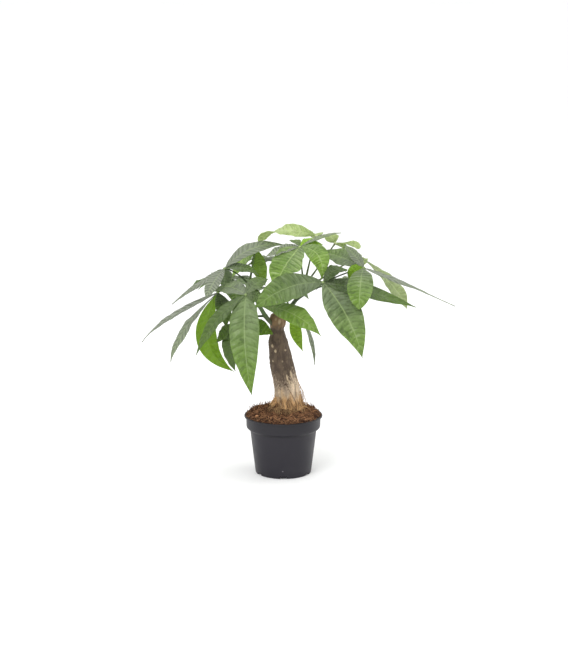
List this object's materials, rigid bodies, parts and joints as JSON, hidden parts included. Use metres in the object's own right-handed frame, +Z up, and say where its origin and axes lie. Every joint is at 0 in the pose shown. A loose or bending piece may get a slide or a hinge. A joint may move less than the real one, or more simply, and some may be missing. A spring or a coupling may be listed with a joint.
{
  "type": "potted money tree",
  "caption": "Young indoor tree with a cut, leaning trunk and drooping hand-shaped leaves, growing in coarse soil in a round plastic nursery pot.",
  "frame": {"origin": "middle of the pot's underside, on the flat disc at its centre", "axes": "+Z up from the pot's foot to the crown, -Y towards the front, where the two large leaves hang, +X towards the right, along the crown's widest spread"},
  "size_m": [0.4763, 0.2914, 0.3811],
  "materials": {
    "pot": "satin moulded black plastic",
    "soil": "rough loose coir and peat",
    "bark": "dull bark, dark above and pale below",
    "shoot": "smooth green stem",
    "leaf_mature": "satin mature leaf",
    "leaf_bright": "satin mid-green leaf",
    "leaf_young": "thin pale young leaf"
  },
  "bodies": {
    "root": {"pot": "pot", "soil": "soil", "trunk": "bark", "shoot_left": "shoot", "shoot_right": "shoot", "leaf_front_left": "leaf_mature", "leaf_low_front": "leaf_bright", "leaf_front_right": "leaf_mature", "leaf_high_left": "leaf_mature", "leaf_outer_left": "leaf_mature", "leaf_top_front": "leaf_bright", "leaf_top_young": "leaf_young", "leaf_low_left": "leaf_mature", "leaf_low_right": "leaf_bright", "leaf_hanging_back": "leaf_bright", "leaf_far_right": "leaf_mature", "leaf_pale_right": "leaf_young", "leaf_pale_folded": "leaf_young", "leaf_back_middle": "leaf_mature", "leaf_back_left": "leaf_mature", "leaf_back_right": "leaf_mature", "leaf_back_low": "leaf_mature"}
  },
  "joints": []
}
